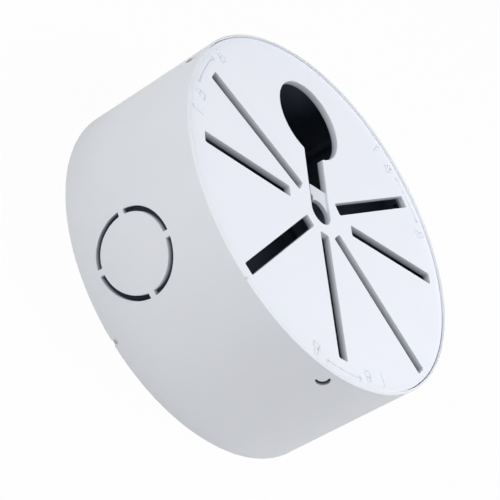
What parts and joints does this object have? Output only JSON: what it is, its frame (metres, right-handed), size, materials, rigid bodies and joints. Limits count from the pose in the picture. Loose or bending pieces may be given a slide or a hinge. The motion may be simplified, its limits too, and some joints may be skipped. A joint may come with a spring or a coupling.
{
  "type": "camera junction box",
  "caption": "Round surface box for a wall-mounted camera: a cup with side conduit knock-out, closed by a twist-lock adapter plate with a keyhole cable opening and radial screw slots.",
  "frame": {"origin": "centre of the back face, which lies on the wall", "axes": "+Z out of the slotted front plate, -X through the middle of the side conduit knock-out"},
  "size_m": [0.124, 0.124, 0.0513],
  "materials": {
    "shell_plastic": "white moulded plastic, fine satin texture",
    "plate_plastic": "white moulded plastic, fine satin texture",
    "gasket_foam": "black closed-cell foam",
    "grommet_rubber": "matt black rubber"
  },
  "bodies": {
    "base": {"base_shell": "shell_plastic", "rear_gasket": "gasket_foam", "cable_grommet": "grommet_rubber"},
    "plate": {"adapter_plate": "plate_plastic"}
  },
  "joints": [
    {"name": "twist_lock", "type": "hinge", "parent": "base", "child": "plate", "pos_m": [0, 0, 0.0481], "axis": [0, 0, 1], "range_deg": [0, 25]}
  ]
}
